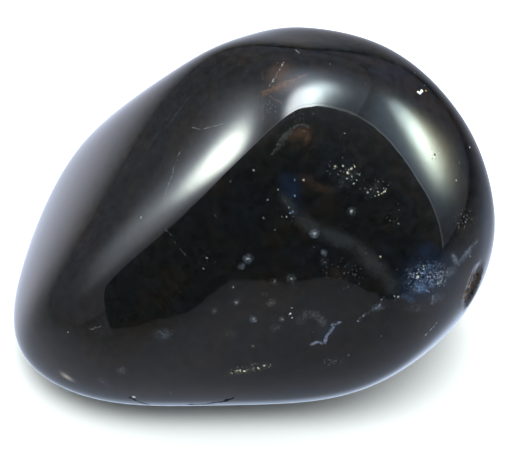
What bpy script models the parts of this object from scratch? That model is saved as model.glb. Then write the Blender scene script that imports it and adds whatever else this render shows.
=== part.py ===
"""Tumbled black onyx stone: one solid, lying on the flat facet worn on its underside.

The frame is in metres. +X runs along the stone's longest side, +Z is up, and the origin is under the
middle of the stone's box, at the height of the rest facet. The broad front facet looks along -Y and up.

The form is a soft-edged polytope. Each worn face is a plane at its own distance from the form's centre,
and the planes are blended into one smooth surface. Broad swells and hollows then bend that surface a
little, a rest facet is cut off the bottom, and a spall is scooped out of the right-hand rim.
"""

import math
from dataclasses import dataclass

import bmesh
import bpy
import numpy as np

MM = 0.001

# Driving dimensions, in millimetres and degrees about the form's centre.
EDGE_SHARPNESS = 12.0  # exponent of the blend: the higher, the tighter the worn edges
REST_DROP = 9.0  # from the form's centre down to the rest facet
SPHERE_STEPS = 5  # icosphere subdivisions, about 5,000 triangles
REFINED_REACH = 2.6  # triangles this near the spall's middle are made finer
REFINE_ROUNDS = 2
REST_EDGE_ANGLE = 30.0  # edges sharper than this stay crisp under smooth shading

# Black onyx: a glossy, nearly black chalcedony.
ONYX_COLOUR = (0.008, 0.008, 0.009, 1.0)
ONYX_ROUGHNESS = 0.06
ONYX_IOR = 1.54


@dataclass(frozen=True)
class WornFace:
    """A face that tumbling wore onto the stone, and its distance from the form's centre.

    Azimuth is 0 towards -Y and 90 towards +X. Elevation is above the horizontal.
    """

    name: str
    azimuth: float
    elevation: float
    distance: float


@dataclass(frozen=True)
class Swell:
    """A broad rise, or a hollow where the share is negative: a share of the radius, spread in degrees."""

    name: str
    azimuth: float
    elevation: float
    spread: float
    share: float


@dataclass(frozen=True)
class Scoop:
    """A shell-shaped spall: what an egg-shaped body, sunk this deep, takes out of the surface.

    Heading turns its long axis in the surface, from level (0) towards the steepest way up (90).
    """

    name: str
    azimuth: float
    elevation: float
    heading: float
    half_length: float
    half_width: float
    half_height: float
    depth: float


WORN_FACES = (
    WornFace("front facet", 0, 26, 8.5),
    WornFace("front facet, left part", -25, 20, 13.0),
    WornFace("front facet, right part", 35, 20, 12.5),
    WornFace("slope above the front facet", 20, 50, 9.5),
    WornFace("slope left of the ridge", -40, 55, 9.5),
    WornFace("upper left flank", -85, 45, 11.0),
    WornFace("left flank", -100, 30, 12.5),
    WornFace("left nose, front", -65, -5, 20.5),
    WornFace("left nose, back", -105, 0, 19.0),
    WornFace("left back slope", -140, 35, 12.0),
    WornFace("crown", 180, 75, 12.5),
    WornFace("right back of the crown", 115, 60, 14.0),
    WornFace("right shoulder", 70, 40, 13.0),
    WornFace("right end", 80, -15, 16.5),
    WornFace("right back side", 130, -5, 12.0),
    WornFace("back side", 165, 5, 12.0),
    WornFace("back undercut", -170, -35, 12.5),
    WornFace("front undercut", 0, -45, 14.5),
    WornFace("right undercut", 45, -45, 14.5),
    WornFace("underside", 0, -90, 8.8),
)

SWELLS = (
    Swell("rise above the front facet", 5, 45, 30, 0.22),
    Swell("dish of the front facet", 5, 38, 20, -0.13),
    Swell("rise by the left nose", -40, -5, 15, 0.07),
    Swell("dish by the left nose", -50, 0, 15, -0.05),
    Swell("rise on the right back", 110, 5, 15, 0.10),
    Swell("dish of the back slope", 170, 30, 30, -0.11),
    Swell("belly of the underside", 0, -90, 25, 0.05),
)

RIM_SPALL = Scoop("spall on the right rim", 66, -7, 54, 3.2, 1.2, 1.1, 0.34)


def compass(azimuth, elevation):
    """The unit vector of a direction given in degrees."""
    turn = math.radians(azimuth)
    rise = math.radians(elevation)
    return np.array(
        (
            math.sin(turn) * math.cos(rise),
            -math.cos(turn) * math.cos(rise),
            math.sin(rise),
        )
    )


def worn_radius(directions):
    """Distance from the centre to the worn surface along unit directions, in millimetres.

    The blend is 1 / (sum of (cosine to each face's normal / its distance) ^ sharpness) ^ (1 / sharpness).
    """
    total = np.zeros(len(directions))
    for face in WORN_FACES:
        cosine = directions @ compass(face.azimuth, face.elevation)
        total += np.maximum(cosine / face.distance, 0.0) ** EDGE_SHARPNESS
    bend = np.ones(len(directions))
    for swell in SWELLS:
        cosine = directions @ compass(swell.azimuth, swell.elevation)
        bend += swell.share * np.exp((cosine - 1.0) / math.radians(swell.spread) ** 2)
    return bend / total ** (1.0 / EDGE_SHARPNESS)


def surface_frame(azimuth, elevation):
    """The surface point in a direction, with the level, upward and outward axes of the surface there."""
    step = 0.5
    corners = [(azimuth, elevation), (azimuth + step, elevation), (azimuth, elevation + step)]
    directions = np.array([compass(*corner) for corner in corners])
    here, beside, above = directions * worn_radius(directions)[:, None]
    outward = np.cross(beside - here, above - here)
    outward /= np.linalg.norm(outward)
    level = np.cross((0.0, 0.0, 1.0), outward)
    level /= np.linalg.norm(level)
    return here, np.array((level, np.cross(outward, level), outward))


def scoop_body(scoop):
    """Centre of the scoop's egg-shaped body, and the matrix that turns it into a unit ball."""
    surface, (level, up, outward) = surface_frame(scoop.azimuth, scoop.elevation)
    turn = math.radians(scoop.heading)
    long_axis = math.cos(turn) * level + math.sin(turn) * up
    axes = np.array((long_axis, np.cross(outward, long_axis), outward))
    reach = np.array((scoop.half_length, scoop.half_width, scoop.half_height))
    centre = surface + outward * (scoop.half_height - scoop.depth)
    return centre, axes / reach[:, None]


def stone_radius(directions):
    """The worn radius, cut back to the near side of the spall's body wherever a direction meets that body.

    A point at distance t along a direction is on the body where |ball @ (t * direction - centre)| is 1.
    """
    radius = worn_radius(directions)
    centre, ball = scoop_body(RIM_SPALL)
    slant = directions @ ball.T
    middle = ball @ centre
    square = (slant**2).sum(axis=1)
    along = slant @ middle
    inside = along**2 - square * (middle @ middle - 1.0)
    near_side = (along - np.sqrt(np.maximum(inside, 0.0))) / square
    return np.where((inside > 0.0) & (along > 0.0), np.minimum(radius, near_side), radius)


def refine_round_spall(mesh):
    """Splits the sphere's triangles near the spall, so that its rim keeps its shape."""
    outward = compass(RIM_SPALL.azimuth, RIM_SPALL.elevation)
    surface = worn_radius(outward[None, :])[0]
    nearest_cosine = math.cos(REFINED_REACH / surface)
    for _ in range(REFINE_ROUNDS):
        near = [
            edge
            for edge in mesh.edges
            if all(np.array(vert.co.normalized()) @ outward > nearest_cosine for vert in edge.verts)
        ]
        bmesh.ops.subdivide_edges(mesh, edges=near, cuts=1, use_grid_fill=True)
        bmesh.ops.triangulate(mesh, faces=mesh.faces)


def wear_to_shape(mesh):
    """Moves each point of the sphere along its own direction to the stone's surface."""
    directions = np.array([vert.co.normalized() for vert in mesh.verts])
    points = directions * (stone_radius(directions) * MM)[:, None]
    for vert, point in zip(mesh.verts, points):
        vert.co = point


def cut_rest_facet(mesh):
    """Cuts the underside off flat and closes it with one face."""
    bmesh.ops.bisect_plane(
        mesh,
        geom=mesh.verts[:] + mesh.edges[:] + mesh.faces[:],
        plane_co=(0.0, 0.0, -REST_DROP * MM),
        plane_no=(0.0, 0.0, -1.0),
        clear_outer=True,
    )
    rim = [edge for edge in mesh.edges if edge.is_boundary]
    bmesh.ops.edgeloop_fill(mesh, edges=rim)
    bmesh.ops.recalc_face_normals(mesh, faces=mesh.faces)


def stand_on_origin(mesh):
    """Puts the origin under the middle of the stone's box, on the rest facet."""
    points = np.array([vert.co for vert in mesh.verts])
    low, high = points.min(axis=0), points.max(axis=0)
    shift = (-(low[0] + high[0]) / 2, -(low[1] + high[1]) / 2, -low[2])
    bmesh.ops.translate(mesh, verts=mesh.verts, vec=shift)


def onyx_material():
    """Polished black onyx."""
    material = bpy.data.materials.new("polished_black_onyx")
    material.use_nodes = True
    shader = material.node_tree.nodes["Principled BSDF"]
    shader.inputs["Base Color"].default_value = ONYX_COLOUR
    shader.inputs["Roughness"].default_value = ONYX_ROUGHNESS
    shader.inputs["Metallic"].default_value = 0.0
    shader.inputs["IOR"].default_value = ONYX_IOR
    return material


def build_stone():
    """The whole stone as one object."""
    mesh = bmesh.new()
    bmesh.ops.create_icosphere(mesh, subdivisions=SPHERE_STEPS, radius=1.0)
    refine_round_spall(mesh)
    wear_to_shape(mesh)
    cut_rest_facet(mesh)
    stand_on_origin(mesh)
    data = bpy.data.meshes.new("onyx_stone")
    mesh.to_mesh(data)
    mesh.free()
    data.materials.append(onyx_material())
    data.shade_smooth()
    data.set_sharp_from_angle(angle=math.radians(REST_EDGE_ANGLE))
    stone = bpy.data.objects.new("onyx_stone", data)
    bpy.context.scene.collection.objects.link(stone)
    return stone


def main():
    """Clears the scene and builds the stone."""
    for old in list(bpy.data.objects):
        bpy.data.objects.remove(old)
    build_stone()


main()
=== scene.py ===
"""The look of a tumbled black onyx: one polished stone on a pale table, in soft studio light."""

import logging
import math
from dataclasses import dataclass, field
from enum import Enum
from functools import partial

import bpy
import numpy as np
from mathutils import Matrix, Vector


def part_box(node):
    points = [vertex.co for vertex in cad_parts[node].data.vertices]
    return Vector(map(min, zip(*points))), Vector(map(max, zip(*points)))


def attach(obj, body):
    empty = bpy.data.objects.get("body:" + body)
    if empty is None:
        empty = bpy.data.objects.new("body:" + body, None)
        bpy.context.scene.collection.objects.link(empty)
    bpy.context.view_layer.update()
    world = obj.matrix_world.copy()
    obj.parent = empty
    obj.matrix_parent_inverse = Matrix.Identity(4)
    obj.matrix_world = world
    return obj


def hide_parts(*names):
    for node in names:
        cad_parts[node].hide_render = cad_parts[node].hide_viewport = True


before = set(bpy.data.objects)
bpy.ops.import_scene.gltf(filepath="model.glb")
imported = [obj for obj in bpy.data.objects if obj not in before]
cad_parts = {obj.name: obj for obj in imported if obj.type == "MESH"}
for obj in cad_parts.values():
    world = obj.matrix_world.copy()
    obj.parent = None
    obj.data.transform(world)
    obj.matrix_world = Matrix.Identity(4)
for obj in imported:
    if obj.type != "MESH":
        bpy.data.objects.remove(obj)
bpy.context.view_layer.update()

LOG = logging.getLogger("onyx")
MM = 0.001


def compass(azimuth: float, elevation: float) -> np.ndarray:
    """The unit vector of a direction: azimuth 0 is towards -Y and 90 towards +X, elevation is above level.

    Args:
        azimuth: Turn about the vertical, in degrees.
        elevation: Angle above the horizontal, in degrees.

    Returns:
        The unit vector.
    """
    turn = math.radians(azimuth)
    rise = math.radians(elevation)
    return np.array((math.sin(turn) * math.cos(rise), -math.cos(turn) * math.cos(rise), math.sin(rise)))


def srgb(code: str) -> tuple[float, float, float]:
    """A linear colour from an sRGB hex code.

    Args:
        code: Six hex digits, such as "1c1d1b".

    Returns:
        Red, green and blue in linear light.
    """
    parts = [int(code[i:i + 2], 16) / 255 for i in (0, 2, 4)]
    return tuple(v / 12.92 if v <= 0.04045 else ((v + 0.055) / 1.055) ** 2.4 for v in parts)


def add(tree: bpy.types.NodeTree, kind: str, *values: object, inputs: dict | None = None,
        **settings: object) -> bpy.types.Node:
    """Adds one shader node, with its settings, its input values and the links into it.

    A value is a number, a tuple, an output socket, or a node, whose first open output it then is.

    Args:
        tree: The node tree that takes the node.
        kind: The node's type without its prefix, such as "Math".
        *values: What goes into the node's open inputs, in their order; None leaves one alone.
        inputs: What goes into other inputs, by name.
        **settings: Properties of the node itself.

    Returns:
        The new node.
    """
    node = tree.nodes.new("ShaderNode" + kind)
    for name, value in settings.items():
        setattr(node, name, value)
    pairs = list(zip([socket for socket in node.inputs if socket.enabled], values))
    pairs += [(node.inputs[name], value) for name, value in (inputs or {}).items()]
    for socket, value in pairs:
        if isinstance(value, bpy.types.Node):
            value = next(output for output in value.outputs if output.enabled)
        if isinstance(value, bpy.types.NodeSocket):
            tree.links.new(value, socket)
        elif value is not None:
            socket.default_value = value
    return node


@dataclass(frozen=True)
class WornFace:
    """A face that tumbling wore onto the stone, and its distance from the form's centre in millimetres."""

    name: str
    azimuth: float
    elevation: float
    distance: float


@dataclass(frozen=True)
class Swell:
    """A broad rise, or a hollow where the share is negative: a share of the radius, spread in degrees."""

    name: str
    azimuth: float
    elevation: float
    spread: float
    share: float


@dataclass(frozen=True)
class Scoop:
    """A shell-shaped spall: what an egg-shaped body, sunk this deep, takes out of the surface."""

    azimuth: float
    elevation: float
    heading: float
    half_length: float
    half_width: float
    half_height: float
    depth: float


@dataclass
class WornForm:
    """The stone's form: a soft-edged polytope, bent a little, with a spall, standing on a flat facet.

    Lengths are in millimetres about the form's centre.
    """

    sharpness: float = 12.0
    rest_drop: float = 9.0
    faces: tuple[WornFace, ...] = (
        WornFace("front facet", 0, 26, 8.5),
        WornFace("front facet, left part", -25, 20, 13.0),
        WornFace("front facet, right part", 35, 20, 12.5),
        WornFace("slope above the front facet", 20, 50, 9.5),
        WornFace("slope left of the ridge", -40, 55, 9.5),
        WornFace("upper left flank", -85, 45, 11.0),
        WornFace("left flank", -100, 30, 12.5),
        WornFace("left nose, front", -65, -5, 20.5),
        WornFace("left nose, back", -105, 0, 19.0),
        WornFace("left back slope", -140, 35, 12.0),
        WornFace("crown", 180, 75, 12.5),
        WornFace("right back of the crown", 115, 60, 14.0),
        WornFace("right shoulder", 70, 40, 13.0),
        WornFace("right end", 80, -15, 16.5),
        WornFace("right back side", 130, -5, 12.0),
        WornFace("back side", 165, 5, 12.0),
        WornFace("back undercut", -170, -35, 12.5),
        WornFace("front undercut", 0, -45, 14.5),
        WornFace("right undercut", 45, -45, 14.5),
        WornFace("underside", 0, -90, 8.8),
    )
    swells: tuple[Swell, ...] = (
        Swell("rise above the front facet", 5, 45, 30, 0.22),
        Swell("dish of the front facet", 5, 38, 20, -0.13),
        Swell("rise by the left nose", -40, -5, 15, 0.07),
        Swell("dish by the left nose", -50, 0, 15, -0.05),
        Swell("rise on the right back", 110, 5, 15, 0.10),
        Swell("dish of the back slope", 170, 30, 30, -0.11),
        Swell("belly of the underside", 0, -90, 25, 0.05),
    )
    spall: Scoop = Scoop(66, -7, 54, 3.2, 1.2, 1.1, 0.34)

    def worn_radius(self, directions: np.ndarray) -> np.ndarray:
        """Distance from the centre to the worn surface.

        Formula: bend / (sum of (cosine to each face's normal / its distance) ^ sharpness) ^ (1 / sharpness),
        where bend is 1 plus each swell's share times exp((cosine to its middle - 1) / spread squared).

        Args:
            directions: Unit vectors, the last axis being x, y, z.

        Returns:
            The radius along each direction.
        """
        total = np.zeros(directions.shape[:-1])
        for face in self.faces:
            cosine = directions @ compass(face.azimuth, face.elevation)
            total += np.maximum(cosine / face.distance, 0.0) ** self.sharpness
        bend = np.ones(directions.shape[:-1])
        for swell in self.swells:
            cosine = directions @ compass(swell.azimuth, swell.elevation)
            bend += swell.share * np.exp((cosine - 1.0) / math.radians(swell.spread) ** 2)
        return bend / total ** (1.0 / self.sharpness)

    def surface_frame(self, azimuth: float, elevation: float) -> tuple[np.ndarray, np.ndarray]:
        """The surface in a direction.

        Args:
            azimuth: Turn about the vertical, in degrees.
            elevation: Angle above the horizontal, in degrees.

        Returns:
            The point, and the level, upward and outward axes of the surface there, as rows.
        """
        step = 0.5
        corners = [(azimuth, elevation), (azimuth + step, elevation), (azimuth, elevation + step)]
        directions = np.array([compass(*corner) for corner in corners])
        here, beside, above = directions * self.worn_radius(directions)[:, None]
        outward = np.cross(beside - here, above - here)
        outward /= np.linalg.norm(outward)
        level = np.cross((0.0, 0.0, 1.0), outward)
        level /= np.linalg.norm(level)
        return here, np.array((level, np.cross(outward, level), outward))

    def spall_body(self) -> tuple[np.ndarray, np.ndarray]:
        """The spall's egg-shaped body.

        Returns:
            Its centre, and the matrix that turns it into a unit ball.
        """
        scoop = self.spall
        surface, (level, up, outward) = self.surface_frame(scoop.azimuth, scoop.elevation)
        turn = math.radians(scoop.heading)
        long_axis = math.cos(turn) * level + math.sin(turn) * up
        axes = np.array((long_axis, np.cross(outward, long_axis), outward))
        reach = np.array((scoop.half_length, scoop.half_width, scoop.half_height))
        return surface + outward * (scoop.half_height - scoop.depth), axes / reach[:, None]

    def radius(self, directions: np.ndarray) -> np.ndarray:
        """The worn radius, cut back to the near side of the spall's body where a direction meets it.

        A point at distance t along a direction is on the body where |ball (t direction - centre)| is 1, a
        quadratic in t whose smaller root is the near side.

        Args:
            directions: Unit vectors, the last axis being x, y, z.

        Returns:
            The radius along each direction.
        """
        radius = self.worn_radius(directions)
        centre, ball = self.spall_body()
        slant = directions @ ball.T
        middle = ball @ centre
        square = (slant**2).sum(axis=-1)
        along = slant @ middle
        inside = along**2 - square * (middle @ middle - 1.0)
        near_side = (along - np.sqrt(np.maximum(inside, 0.0))) / square
        return np.where((inside > 0.0) & (along > 0.0), np.minimum(radius, near_side), radius)


@dataclass(frozen=True)
class Sight:
    """Where the camera stands, in millimetres about the form's centre, and the sight lines from there.

    A place on the stone is given as it is seen: across and up, in the plane through the form's centre.
    """

    elevation: float = 48.0
    distance: float = 150.0
    aim_across: float = -0.80
    aim_up: float = -1.65
    near_side: float = 26.0
    walk_steps: int = 200

    def axes(self) -> np.ndarray:
        """The view's own directions.

        Returns:
            Right, up and forward, as rows.
        """
        tilt = math.radians(self.elevation)
        return np.array(((1.0, 0.0, 0.0), (0.0, math.sin(tilt), math.cos(tilt)),
                         (0.0, math.cos(tilt), -math.sin(tilt))))

    def eye(self) -> np.ndarray:
        """The camera's place."""
        return np.array((self.aim_across, self.aim_up, -self.distance)) @ self.axes()

    def land(self, form: WornForm, seen: np.ndarray) -> np.ndarray:
        """Where sight lines first meet the form.

        Each line is walked in even steps to the first one inside the form, and that step is then halved.

        Args:
            form: The stone's form.
            seen: Places across and up, one row each.

        Returns:
            The places' x, y, z.
        """
        right, up, _ = self.axes()
        way = seen[:, :1] * right + seen[:, 1:] * up - self.eye()
        way /= np.linalg.norm(way, axis=1, keepdims=True)
        walk = np.linspace(self.distance - self.near_side, self.distance + self.near_side, self.walk_steps)

        def inside(reach: np.ndarray) -> np.ndarray:
            """Whether the points at these distances along the sight lines are inside the form.

            Args:
                reach: Distances, the last axis being the sight lines.

            Returns:
                True where a point is inside.
            """
            points = self.eye() + reach[..., None] * way
            length = np.linalg.norm(points, axis=-1)
            return length < form.radius(points / length[..., None])

        first = inside(np.repeat(walk[:, None], len(seen), axis=1)).argmax(axis=0)
        far, near = walk[first], walk[first - 1]
        for _ in range(20):
            middle = (near + far) / 2
            hit = inside(middle)
            near, far = np.where(hit, near, middle), np.where(hit, middle, far)
        return self.eye() + far[:, None] * way


class Mineral(Enum):
    """What shows in a mark, and its colour under the polish."""

    BROKEN = "2e2824"  # the unpolished floor of a spall
    NAVY = "162338"  # deep blue chalcedony, faintly clearer than the black
    BROWN = "3a2a20"  # weak iron stain
    RUST = "8f6344"  # iron oxide in a healed crack
    SMOKE = "46494b"  # grey quartz haze
    MIST = "6f7887"  # bluish quartz haze
    LAVENDER = "8f95ad"  # fine crystals with a lilac cast
    BLUE = "7c9cc8"  # pale blue crystals
    SILVER = "a9afb0"  # bright quartz grains
    STRAW = "d8d3b4"  # grains with a warm cast
    WHITE = "f4f6f2"  # freshly broken quartz
    AMBER = "c98a3c"  # a grain of orange chalcedony
    BLACK = "010101"  # an open crack or pit, and painted shade on the spall's shadowed lip


class Weave(Enum):
    """What fills a cloud."""

    VEIL = "veil"
    HAZE = "haze"
    GRAINS = "grains"
    DUST = "dust"
    CRYSTALS = "crystals"
    FLOOR = "floor"


@dataclass(frozen=True)
class Spot:
    """A small round mark: where it is seen, and its reach, in millimetres."""

    name: str
    across: float
    up: float
    reach: float
    mineral: Mineral
    strength: float = 1.0


@dataclass(frozen=True)
class Spherulite:
    """A round growth of fine crystals: a bright core in a dim halo, or a hollow ring."""

    name: str
    across: float
    up: float
    reach: float
    core: float
    halo: float
    mineral: Mineral = Mineral.MIST
    ring: bool = False


@dataclass(frozen=True)
class Streak:
    """A line through the places it is seen at: a vein, a scratch or a crack."""

    name: str
    places: tuple[tuple[float, float], ...]
    half_width: float
    mineral: Mineral
    strength: float = 1.0
    broken: bool = False


@dataclass(frozen=True)
class Cloud:
    """An oval patch of haze or grains, its long axis turned by the tilt in degrees from level."""

    name: str
    across: float
    up: float
    half_length: float
    half_width: float
    tilt: float
    weave: Weave
    mineral: Mineral
    strength: float = 1.0


@dataclass(frozen=True)
class FrontMarks:
    """The marks in the stone's front, under the polish unless they are chips, pits, cracks or the painted
    shade on the spall's lip.
    """

    spherulites: tuple[Spherulite, ...] = (
        Spherulite("left of the middle, bright", -1.4, -4.1, 0.42, 1.0, 0.65),
        Spherulite("beside the bright one", -1.8, -4.6, 0.30, 0.15, 0.5),
        Spherulite("left string, upper", -2.4, -6.1, 0.28, 0.8, 0.5, Mineral.SMOKE),
        Spherulite("left string, lower", -2.2, -7.2, 0.30, 0.8, 0.6, Mineral.SMOKE),
        Spherulite("far left, faint", -3.8, -7.8, 0.34, 0.1, 0.5, Mineral.SMOKE),
        Spherulite("low star", -1.0, -8.4, 0.34, 1.0, 0.7),
        Spherulite("beside the low star", 1.05, -8.4, 0.28, 0.5, 0.9, Mineral.SMOKE),
        Spherulite("lowest", -1.0, -10.3, 0.22, 0.6, 0.6, Mineral.SMOKE),
        Spherulite("right of the middle", 6.0, -0.7, 0.38, 1.0, 0.75, Mineral.SMOKE),
        Spherulite("on the pale band", 3.35, -2.3, 0.40, 1.0, 0.65),
        Spherulite("upper left ring", 0.5, -5.7, 0.30, 0.5, 0.8, Mineral.SMOKE, True),
        Spherulite("upper right ring", 1.7, -5.5, 0.40, 0.7, 0.9, Mineral.SMOKE, True),
        Spherulite("lower ring", 0.25, -7.25, 0.36, 0.2, 1.0, Mineral.SMOKE, True),
        Spherulite("small ring", -0.2, -6.6, 0.26, 0.0, 0.7, Mineral.SMOKE, True),
        Spherulite("ring under the band", 4.1, -4.3, 0.34, 0.2, 0.6, Mineral.SMOKE, True),
        Spherulite("above that ring", 4.05, -3.65, 0.28, 0.1, 0.6),
    )
    spots: tuple[Spot, ...] = (
        Spot("bright fleck, upper", 1.75, -7.6, 0.08, Mineral.WHITE, 0.8),
        Spot("bright fleck, middle", 1.65, -8.0, 0.12, Mineral.WHITE),
        Spot("bright fleck, lower", 1.75, -8.3, 0.09, Mineral.WHITE, 0.8),
        Spot("brightest in the right cluster, left", 7.95, 0.45, 0.09, Mineral.STRAW),
        Spot("brightest in the right cluster, middle", 8.15, 0.55, 0.08, Mineral.STRAW),
        Spot("brightest in the right cluster, right", 8.35, 0.7, 0.10, Mineral.STRAW),
        Spot("in the left cluster, top left", 4.85, 2.5, 0.11, Mineral.STRAW, 0.8),
        Spot("in the left cluster, top right", 6.2, 2.45, 0.10, Mineral.STRAW, 0.9),
        Spot("in the left cluster, middle", 5.75, 2.05, 0.12, Mineral.STRAW, 0.8),
        Spot("in the left cluster, edge", 6.0, 2.3, 0.09, Mineral.STRAW, 0.8),
        Spot("in the left cluster, bottom", 6.0, 1.75, 0.08, Mineral.SILVER, 0.7),
        Spot("in the blue patch, right", 2.6, 1.55, 0.10, Mineral.STRAW, 0.9),
        Spot("in the blue patch, left", 1.95, 1.5, 0.10, Mineral.MIST),
        Spot("in the blue patch, bottom", 1.95, 0.4, 0.11, Mineral.BLUE, 0.9),
        Spot("at the head of the band", 0.8, 0.85, 0.09, Mineral.SILVER, 0.9),
        Spot("on the band, upper", 1.65, -0.85, 0.10, Mineral.BLUE),
        Spot("on the band, lower", 1.4, -1.1, 0.09, Mineral.SILVER, 0.9),
        Spot("on the band, between", 1.8, -0.7, 0.07, Mineral.SILVER, 0.7),
        Spot("left of the band, upper", -1.0, 2.2, 0.08, Mineral.SILVER, 0.8),
        Spot("left of the band, pair", 0.05, 0.1, 0.10, Mineral.SILVER, 0.7),
        Spot("left of the band, lower", -0.25, -1.2, 0.08, Mineral.SILVER, 0.5),
        Spot("left of the band, lowest", 0.55, -2.05, 0.08, Mineral.SILVER, 0.5),
        Spot("in the top corner of the facet", 5.5, 4.85, 0.07, Mineral.SILVER, 0.6),
        Spot("right of the clusters", 9.35, -1.6, 0.10, Mineral.SILVER, 0.9),
        Spot("above the blue cluster", 8.05, -3.95, 0.10, Mineral.STRAW, 0.8),
        Spot("left of the blue cluster, near", 9.3, -6.8, 0.11, Mineral.SILVER),
        Spot("left of the blue cluster, far", 9.05, -6.75, 0.10, Mineral.SILVER, 0.8),
        Spot("on the far left of the facet", -4.3, -4.0, 0.08, Mineral.SILVER, 0.8),
        Spot("beside it", -4.5, -4.8, 0.08, Mineral.SILVER, 0.5),
        Spot("on the left flank", -8.95, -1.15, 0.10, Mineral.SILVER, 0.9),
        Spot("by the left nose", -14.15, -9.3, 0.08, Mineral.SILVER, 0.8),
        Spot("near the right rim, upper", 14.4, 3.85, 0.10, Mineral.SILVER, 0.9),
        Spot("near the right rim, lower", 13.45, 1.5, 0.09, Mineral.SILVER, 0.7),
        Spot("right of the blue cluster, upper", 14.45, -3.9, 0.08, Mineral.SILVER, 0.6),
        Spot("above the right lamp's mirror image", 10.5, 9.15, 0.06, Mineral.SILVER, 0.6),
        Spot("near the crown", 0.75, 9.85, 0.06, Mineral.SILVER, 0.8),
        Spot("brightest blue crystal", 10.7, -5.35, 0.12, Mineral.WHITE, 0.9),
        Spot("second blue crystal", 11.1, -4.6, 0.09, Mineral.SILVER, 0.9),
        Spot("right blue crystal", 12.3, -5.3, 0.10, Mineral.SILVER, 0.8),
        Spot("lower blue crystal", 12.1, -5.85, 0.09, Mineral.SILVER, 0.8),
        Spot("red grain in the rusty arc", 2.6, 5.0, 0.13, Mineral.RUST, 0.25),
        Spot("orange grain by the white chip", 11.3, 7.85, 0.10, Mineral.AMBER),
        Spot("orange grain in the spall, upper", 14.35, -6.1, 0.10, Mineral.AMBER, 0.9),
        Spot("orange grain in the spall, lower", 14.2, -6.9, 0.10, Mineral.RUST, 0.9),
        Spot("pit in the right lamp's mirror image", 11.9, 3.3, 0.14, Mineral.BLACK),
        Spot("tiny pit below it", 12.0, 3.0, 0.08, Mineral.BLACK),
        Spot("tiny pit beside it", 11.75, 3.05, 0.07, Mineral.BLACK),
        Spot("tiny pit above it", 11.7, 3.75, 0.07, Mineral.BLACK),
        Spot("pit at the crack's right end", -2.85, -14.15, 0.22, Mineral.BLACK),
        Spot("chip at the crack's left end", -9.5, -13.9, 0.14, Mineral.WHITE, 0.9),
    )
    streaks: tuple[Streak, ...] = (
        Streak("vein below the middle", ((3.1, -10.2), (3.5, -10.0), (4.1, -10.1), (4.2, -9.6),
               (4.5, -9.3), (4.7, -8.9)), 0.10, Mineral.LAVENDER, 0.6),
        Streak("top of that vein", ((4.6, -8.75), (5.2, -8.6)), 0.12, Mineral.LAVENDER, 0.5, True),
        Streak("vein to the right", ((6.5, -8.5), (6.9, -8.1), (7.4, -7.75), (7.9, -7.5), (8.1, -7.0)),
               0.10, Mineral.LAVENDER, 0.6, True),
        Streak("line under the blue cluster", ((10.6, -6.0), (11.5, -6.4)), 0.07, Mineral.BLUE, 0.35),
        Streak("smear left of the blue cluster", ((9.7, -6.7), (10.3, -7.1)), 0.22, Mineral.BLUE, 0.08),
        Streak("tail under the blue cluster", ((11.8, -6.7), (11.75, -7.3)), 0.07, Mineral.LAVENDER, 0.2),
        Streak("hook, left leg", ((13.2, -3.8), (13.6, -4.5)), 0.10, Mineral.LAVENDER, 0.12),
        Streak("hook, right leg", ((13.6, -4.5), (14.0, -3.85), (15.0, -2.8)), 0.08, Mineral.LAVENDER,
               0.12, True),
        Streak("rusty arc, outer line", ((0.35, 3.3), (0.65, 3.9), (1.05, 4.55), (1.55, 5.05),
               (2.05, 5.35), (2.6, 5.5), (2.95, 5.25)), 0.09, Mineral.SMOKE, 0.5),
        Streak("dotted scratch on the lower right", ((11.1, -9.7), (12.1, -8.6)), 0.07, Mineral.SILVER,
               0.45, True),
        Streak("scratch on the left flank, upper", ((-6.1, 3.8), (-6.5, 2.8), (-6.9, 1.5), (-7.3, 0.4)),
               0.05, Mineral.SILVER, 0.16, True),
        Streak("scratch on the left flank, lower", ((-7.3, -1.9), (-6.9, -2.4), (-5.8, -3.9)), 0.05,
               Mineral.SILVER, 0.10, True),
        Streak("curl above the left lamp's mirror image", ((-5.5, 5.3), (-4.7, 5.1), (-3.9, 5.3),
               (-3.0, 5.55)), 0.05, Mineral.SILVER, 0.16, True),
        Streak("short scratch by the left nose", ((-12.6, -9.1), (-11.8, -8.9)), 0.05, Mineral.SILVER,
               0.25),
        Streak("silvery scratch across the fracture", ((0.15, 8.2), (0.8, 9.2), (1.15, 9.85)), 0.05,
               Mineral.SILVER, 0.45, True),
        Streak("fracture, upright", ((-0.3, 9.2), (-0.35, 7.5), (-0.3, 5.8)), 0.05, Mineral.BROWN, 0.8),
        Streak("fracture, rusty arm", ((-0.25, 7.75), (0.9, 8.2), (2.0, 8.7), (2.7, 9.0)), 0.09,
               Mineral.RUST, 0.2),
        Streak("fracture, lower arm", ((-0.25, 7.7), (1.0, 7.0)), 0.08, Mineral.RUST, 0.15),
        Streak("nick near the crown", ((2.0, 10.8), (2.25, 10.55)), 0.05, Mineral.SILVER, 0.3),
        Streak("white chip near the top right", ((10.75, 7.7), (11.0, 7.85)), 0.11, Mineral.WHITE, 1.0),
        # Painted shade: the spall's lip is drawn black and without gloss, where shade falls at the step.
        Streak("shadowed lip of the spall", ((14.9, -4.85), (15.0, -5.35), (14.6, -6.5), (14.15, -7.05),
               (14.0, -7.3)), 0.11, Mineral.BLACK, 0.9, True),
        Streak("rim crack, left end", ((-9.8, -13.95), (-9.4, -14.15), (-8.9, -14.35), (-8.4, -14.45)),
               0.08, Mineral.BLACK, 1.0),
        Streak("rim crack, right end", ((-5.6, -14.45), (-4.4, -14.42), (-3.6, -14.3), (-3.0, -14.2),
               (-2.4, -13.95)), 0.09, Mineral.BLACK, 1.0),
    )
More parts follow.
